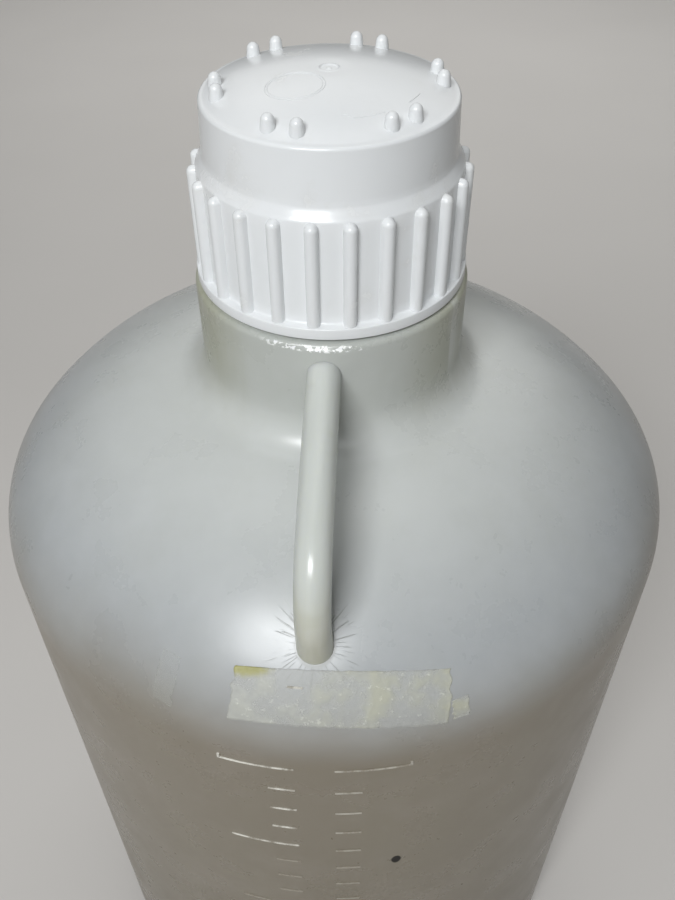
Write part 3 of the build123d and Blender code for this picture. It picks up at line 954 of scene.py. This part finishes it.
dome_lines = dome_line_tree()
OVAL_AT = (-10.1, -12.4)
line_sets = {
    "oval_outer_ring": (9.6, 8.7, *OVAL_AT, 0.0, 360.0),
    "oval_inner_ring": (8.8, 7.9, *OVAL_AT, 0.0, 360.0),
    "arrow_arc_one": (31.0, 31.0, 0.0, 0.0, -73.4, 19.4),
    "arrow_arc_two": (31.0, 31.0, 0.0, 0.0, -34.3, 14.1),
    "arrow_head_side": (5.0, 5.0, 5.6, -33.5, 62.0, 34.0),
}
for name, (wide, deep, across, back, start, sweep) in line_sets.items():
    values = {"Wide": wide * MM, "Deep": deep * MM, "Across": across * MM, "Back": back * MM, "Thick": LINE_R}
    values.update({"Start": math.radians(start), "Sweep": math.radians(sweep)})
    line = grown(name, dome_lines, values, closure_plastic)
    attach(line, "screw_closure")

# %% [markdown]
# A rib is half round, flares into the skirt at its sides, and ends in a dome just under the shelf. It is
# made once as a small relief: a grid that bends with the skirt, raised by the rib's section, with a back
# face inside the wall. The tree then puts it round the skirt.

# %% Grip ribs
RIB_FLARE = 0.7 * MM


def rib_relief(across, height):
    """Radius of the rib's face at a distance across the rib and a height."""
    centre = FLANGE_R - RIB_INSET - RIB_R
    above = max(0.0, height - (SHELF_Z - RIB_R))
    left = RIB_R * RIB_R - across * across - above * above
    raised = centre + math.sqrt(left) if left > 0 else centre - math.sqrt(-left) * 1.5
    blend = max(0.0, 1 - abs(raised - SKIRT_R) / RIB_FLARE)
    return max(raised, SKIRT_R - 0.7 * MM) + blend * blend * RIB_FLARE / 4


def rib_mesh():
    columns, rows = 25, 34
    half = RIB_R + RIB_FLARE
    low, high = SKIRT_Z + FLANGE_TALL - 0.4 * MM, SHELF_Z + 0.2 * MM
    heights = list(np.linspace(low, SHELF_Z - RIB_R * 1.3, 12))
    heights += list(np.linspace(SHELF_Z - RIB_R * 1.2, high, rows - 12))
    vertices = []
    for back in (False, True):
        for height in heights:
            for i in range(columns):
                across = half * math.sin(math.radians(-90 + 180 * i / (columns - 1)))
                radius = SKIRT_R - 1.2 * MM if back else rib_relief(across, height)
                angle = across / SKIRT_R
                vertices.append((radius * math.cos(angle), radius * math.sin(angle), height))
    sheet, faces = rows * columns, []
    for r in range(rows - 1):
        for c in range(columns - 1):
            a = r * columns + c
            faces.append((a, a + 1, a + columns + 1, a + columns))
            faces.append((sheet + a, sheet + a + columns, sheet + a + columns + 1, sheet + a + 1))
    edge = [c for c in range(columns)] + [r * columns + columns - 1 for r in range(1, rows)]
    edge += [(rows - 1) * columns + c for c in range(columns - 2, -1, -1)]
    edge += [r * columns for r in range(rows - 2, 0, -1)]
    for a, b in zip(edge, edge[1:] + edge[:1]):
        faces.append((a, sheet + a, sheet + b, b))
    return new_piece("rib_pattern", vertices, faces, closure_plastic)


def ring_tree(name):
    """Copies of one object, turned round the axis, in groups of evenly spaced copies."""
    g, given = new_tree(name, {"Pattern": "Object", "Count": "Int", "Turn": "Float"})
    shape = g.node("GeometryNodeObjectInfo", {}, {"Object": given["Pattern"]})[4]
    spots = g.node("GeometryNodePoints", {}, {"Count": given["Count"]})[0]
    index = g.node("GeometryNodeInputIndex")[0]
    angle = index / given["Count"] * (2 * math.pi) + given["Turn"]
    spin = g.node("ShaderNodeCombineXYZ", {}, {"Z": angle})[0]
    placing = {"Points": spots, "Instance": shape, "Rotation": spin}
    copies = g.node("GeometryNodeInstanceOnPoints", {}, placing)[0]
    close_tree(g, copies, closure_plastic)
    return g.tree


ring = ring_tree("ring_of_copies")
rib_pattern = rib_mesh()
values = {"Pattern": rib_pattern, "Count": RIB_COUNT, "Turn": math.radians(CLOSURE_TURN)}
ribs = grown("closure_ribs", ring, values, closure_plastic)
bpy.data.objects.remove(rib_pattern)
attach(ribs, "screw_closure")

# %% Pegs
PEG_FOOT_Z = dome_z(PEG_CIRCLE)
PEG_DRAFT = 0.15 * MM


def peg_profile():
    """A pin with a slight draft and a round head, rooted inside the domed top."""
    tip = PEG_FOOT_Z + PEG_TALL
    root = [(0, PEG_FOOT_Z - 2 * MM), (PEG_R + PEG_DRAFT, PEG_FOOT_Z - 2 * MM)]
    head = arc((0, tip - PEG_R), PEG_R - PEG_DRAFT, 0, 88, 9)
    return root + run((PEG_R + PEG_DRAFT, PEG_FOOT_Z), head[0], 4) + head + [(0, tip - PEG_DRAFT)]


peg_pattern = turned("peg_pattern", peg_profile(), 24, closure_plastic)
peg_pattern.data.transform(Matrix.Translation((PEG_CIRCLE, 0, 0)))
for label, lean in (("first", -PEG_HALF), ("second", PEG_HALF)):
    values = {"Pattern": peg_pattern, "Count": PEG_PAIRS, "Turn": math.radians(CLOSURE_TURN + lean)}
    pegs = grown(f"closure_pegs_{label}", ring, values, closure_plastic)
    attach(pegs, "screw_closure")
bpy.data.objects.remove(peg_pattern)

# %% [markdown]
# ## The sealing ring
#
# The ring is a soft flat washer with rounded corners. It shows only when the closure is off.

# %% Sealing ring
RING_ROUND = 0.5 * MM
ring_out, ring_inner = gasket_high.x - 0.05 * MM, gasket_high.x - 4.65 * MM
low, high = gasket_low.z, gasket_high.z
washer = arc((ring_out - RING_ROUND, low + RING_ROUND), RING_ROUND, -90, 0, 4)
washer += arc((ring_out - RING_ROUND, high - RING_ROUND), RING_ROUND, 0, 90, 4)
washer += arc((ring_inner + RING_ROUND, high - RING_ROUND), RING_ROUND, 90, 180, 4)
washer += arc((ring_inner + RING_ROUND, low + RING_ROUND), RING_ROUND, 180, 270, 4)
sealing_ring = turned("sealing_ring_washer", washer, 128, sealing_rubber)
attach(sealing_ring, "sealing_ring")
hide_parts("closure_gasket")

# %% [markdown]
# ## Old label tape
#
# A strip of film and two scraps of it are left on the shoulder. Each is a grid laid on the shoulder's
# own profile. The strip was stuck on straight, so against the round shoulder its middle sits a little
# higher than its ends. Its edges are torn with seeded noise, its surface is crinkled, and it gets a
# real thickness at the end.

# %% Tape scraps
TAPE_THICK = 0.12 * MM
steps = [math.dist(a, b) for a, b in zip(shoulder_line, shoulder_line[1:])]
shoulder_far = np.concatenate([[0], np.cumsum(steps)])


def on_shoulder(angle, along, lift):
    """A point on the shoulder: angle in degrees from the front, along the profile, and lifted off it."""
    radius = np.interp(along, shoulder_far, shoulder_radii)
    height = np.interp(along, shoulder_far, shoulder_heights)
    ahead = np.interp(along + 0.5 * MM, shoulder_far, shoulder_radii) - radius
    rise = np.interp(along + 0.5 * MM, shoulder_far, shoulder_heights) - height
    size = math.hypot(ahead, rise)
    radius, height = radius + lift * rise / size, height - lift * ahead / size
    a = math.radians(angle - 90)
    return Vector((radius * math.cos(a), radius * math.sin(a), height))


def along_at(height):
    return float(np.interp(height, shoulder_heights, shoulder_far))


def make_tape(name, angles, low_ends, high_ends, bows, ragged, seed):
    start, end, end_lean = angles
    columns = max(8, int((end - start) * 4))
    rows = 22
    low_left, low_right = (along_at(z * MM) for z in low_ends)
    high_left, high_right = (along_at(z * MM) for z in high_ends)
    vertices = []
    for r in range(rows + 1):
        for c in range(columns + 1):
            u, v = c / columns, r / rows
            left = noise.noise(Vector((seed, v * 7, 0))) * ragged
            right = noise.noise(Vector((seed + 9, v * 7, 0))) * ragged
            bottom = noise.noise(Vector((u * (end - start) * 0.6, seed, 3))) * ragged * MM * 0.5
            top = noise.noise(Vector((u * (end - start) * 0.6, seed, 7))) * ragged * MM * 0.5
            angle = (start + left) * (1 - u) + (end + right + end_lean * (v - 1)) * u
            rise = (1 - (2 * u - 1) ** 2) * MM
            low = low_left * (1 - u) + low_right * u + bottom + bows[0] * rise
            high = high_left * (1 - u) + high_right * u + top + bows[1] * rise
            along = low * (1 - v) + high * v
            rim = min(u * (end - start) * 2.4, (1 - u) * (end - start) * 2.4, v * 16, (1 - v) * 16)
            curl = max(0.0, 1 - rim) * 0.35 * MM * (0.4 + noise.noise(Vector((u * 40, v * 9, seed))))
            crinkle = (noise.noise(Vector((u * (end - start) * 1.7, v * 8, seed))) + 0.4) * 0.09 * MM
            vertices.append(on_shoulder(angle, along, 0.12 * MM + max(0.0, curl) + max(0.0, crinkle)))
    faces = []
    for r in range(rows):
        for c in range(columns):
            a = r * (columns + 1) + c
            faces.append((a, a + 1, a + columns + 2, a + columns + 1))
    scrap = new_piece(name, vertices, faces, old_tape, 60)
    thick = scrap.modifiers.new("thickness", "SOLIDIFY")
    thick.thickness = TAPE_THICK
    thick.offset = -1
    scrap.data.materials.append(tape_edge)
    thick.material_offset_rim = 1
    return scrap


tape_sizes = {
    "label_tape_main": ((-12.0, 20.6, 1.8), (342.2, 339.2), (356.4, 354.2), (2.4, 3.1), 0.5, 3.0),
    "label_tape_left": ((-23.8, -20.6, 0.0), (341.0, 340.0), (355.0, 354.2), (0.0, 0.0), 0.5, 5.0),
    "label_tape_right": ((19.7, 22.3, 0.3), (339.8, 340.2), (346.0, 346.6), (0.0, 0.0), 0.5, 8.0),
}
for name, values in tape_sizes.items():
    scrap = make_tape(name + "_film", *values)
    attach(scrap, "bottle")
    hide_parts(name)

# %% [markdown]
# ## Floor and light
#
# A plain pale floor, and soft light from the front and above, as from the ceiling panels of a room. The
# front panel is behind the camera, a little to the left: it brightens the sloping shelf and leaves the
# right side of the drum in shade. A weak rear panel lifts the far side of the shoulder, and one more
# lights only the floor behind.

# %% Floor
floor_mesh = bpy.data.meshes.new("floor")
HALF_FLOOR = 6.0
UNDER_FEET = 0.2 * MM
corners = [(-HALF_FLOOR, -HALF_FLOOR), (HALF_FLOOR, -HALF_FLOOR)]
corners += [(HALF_FLOOR, HALF_FLOOR), (-HALF_FLOOR, HALF_FLOOR)]
floor_mesh.from_pydata([(x, y, cad_low.z - UNDER_FEET) for x, y in corners], [], [(0, 1, 2, 3)])
floor = bpy.data.objects.new("floor", floor_mesh)
bpy.context.scene.collection.objects.link(floor)


def paint_floor(g):
    where, x, y, z = g.place()
    cloudy = g.noise(where, 3.0, 2.0)
    return {"Base Color": g.mix(cloudy, (0.62, 0.60, 0.575, 1), (0.68, 0.66, 0.635, 1))}


floor_mesh.materials.append(finish_material("floor_paint", paint_floor, {"Roughness": 0.7}))

# %% Lights
def soft_panel(name, place, aim, size, watts, colour, spread=180):
    data = bpy.data.lights.new(name, "AREA")
    data.spread = math.radians(spread)
    data.shape = "RECTANGLE"
    data.size, data.size_y = size
    data.energy = watts
    data.color = colour
    panel = bpy.data.objects.new(name, data)
    panel.location = place
    panel.rotation_euler = (Vector(aim) - Vector(place)).to_track_quat("-Z", "Y").to_euler()
    bpy.context.scene.collection.objects.link(panel)
    return data


middle = (0, 0, 0.35)
soft_panel("front_panel", (-0.28, -1.13, 1.45), middle, (0.7, 0.45), 21, (0.97, 0.985, 1.0))
soft_panel("ceiling_panel", (0.0, 0.35, 1.9), middle, (1.2, 1.0), 3.5, (1.0, 0.995, 0.98))
soft_panel("left_fill", (-1.5, -0.1, 0.9), middle, (0.9, 0.9), 0.6, (0.95, 0.98, 1.0))
rear = soft_panel("rear_panel", (0.25, 1.5, 1.35), middle, (2.0, 1.2), 6, (1.0, 1.0, 0.98))
rear.specular_factor = 0.15
soft_panel("back_panel", (0.0, 1.9, 1.5), (0.0, 1.7, 0.0), (2.4, 1.0), 6, (1.0, 1.0, 1.0), 110)

world = bpy.data.worlds.new("room")
bpy.context.scene.world = world
world.use_nodes = True
world.node_tree.nodes["Background"].inputs["Color"].default_value = (0.80, 0.80, 0.78, 1)
world.node_tree.nodes["Background"].inputs["Strength"].default_value = 0.10
bpy.context.scene.view_settings.view_transform = "Standard"
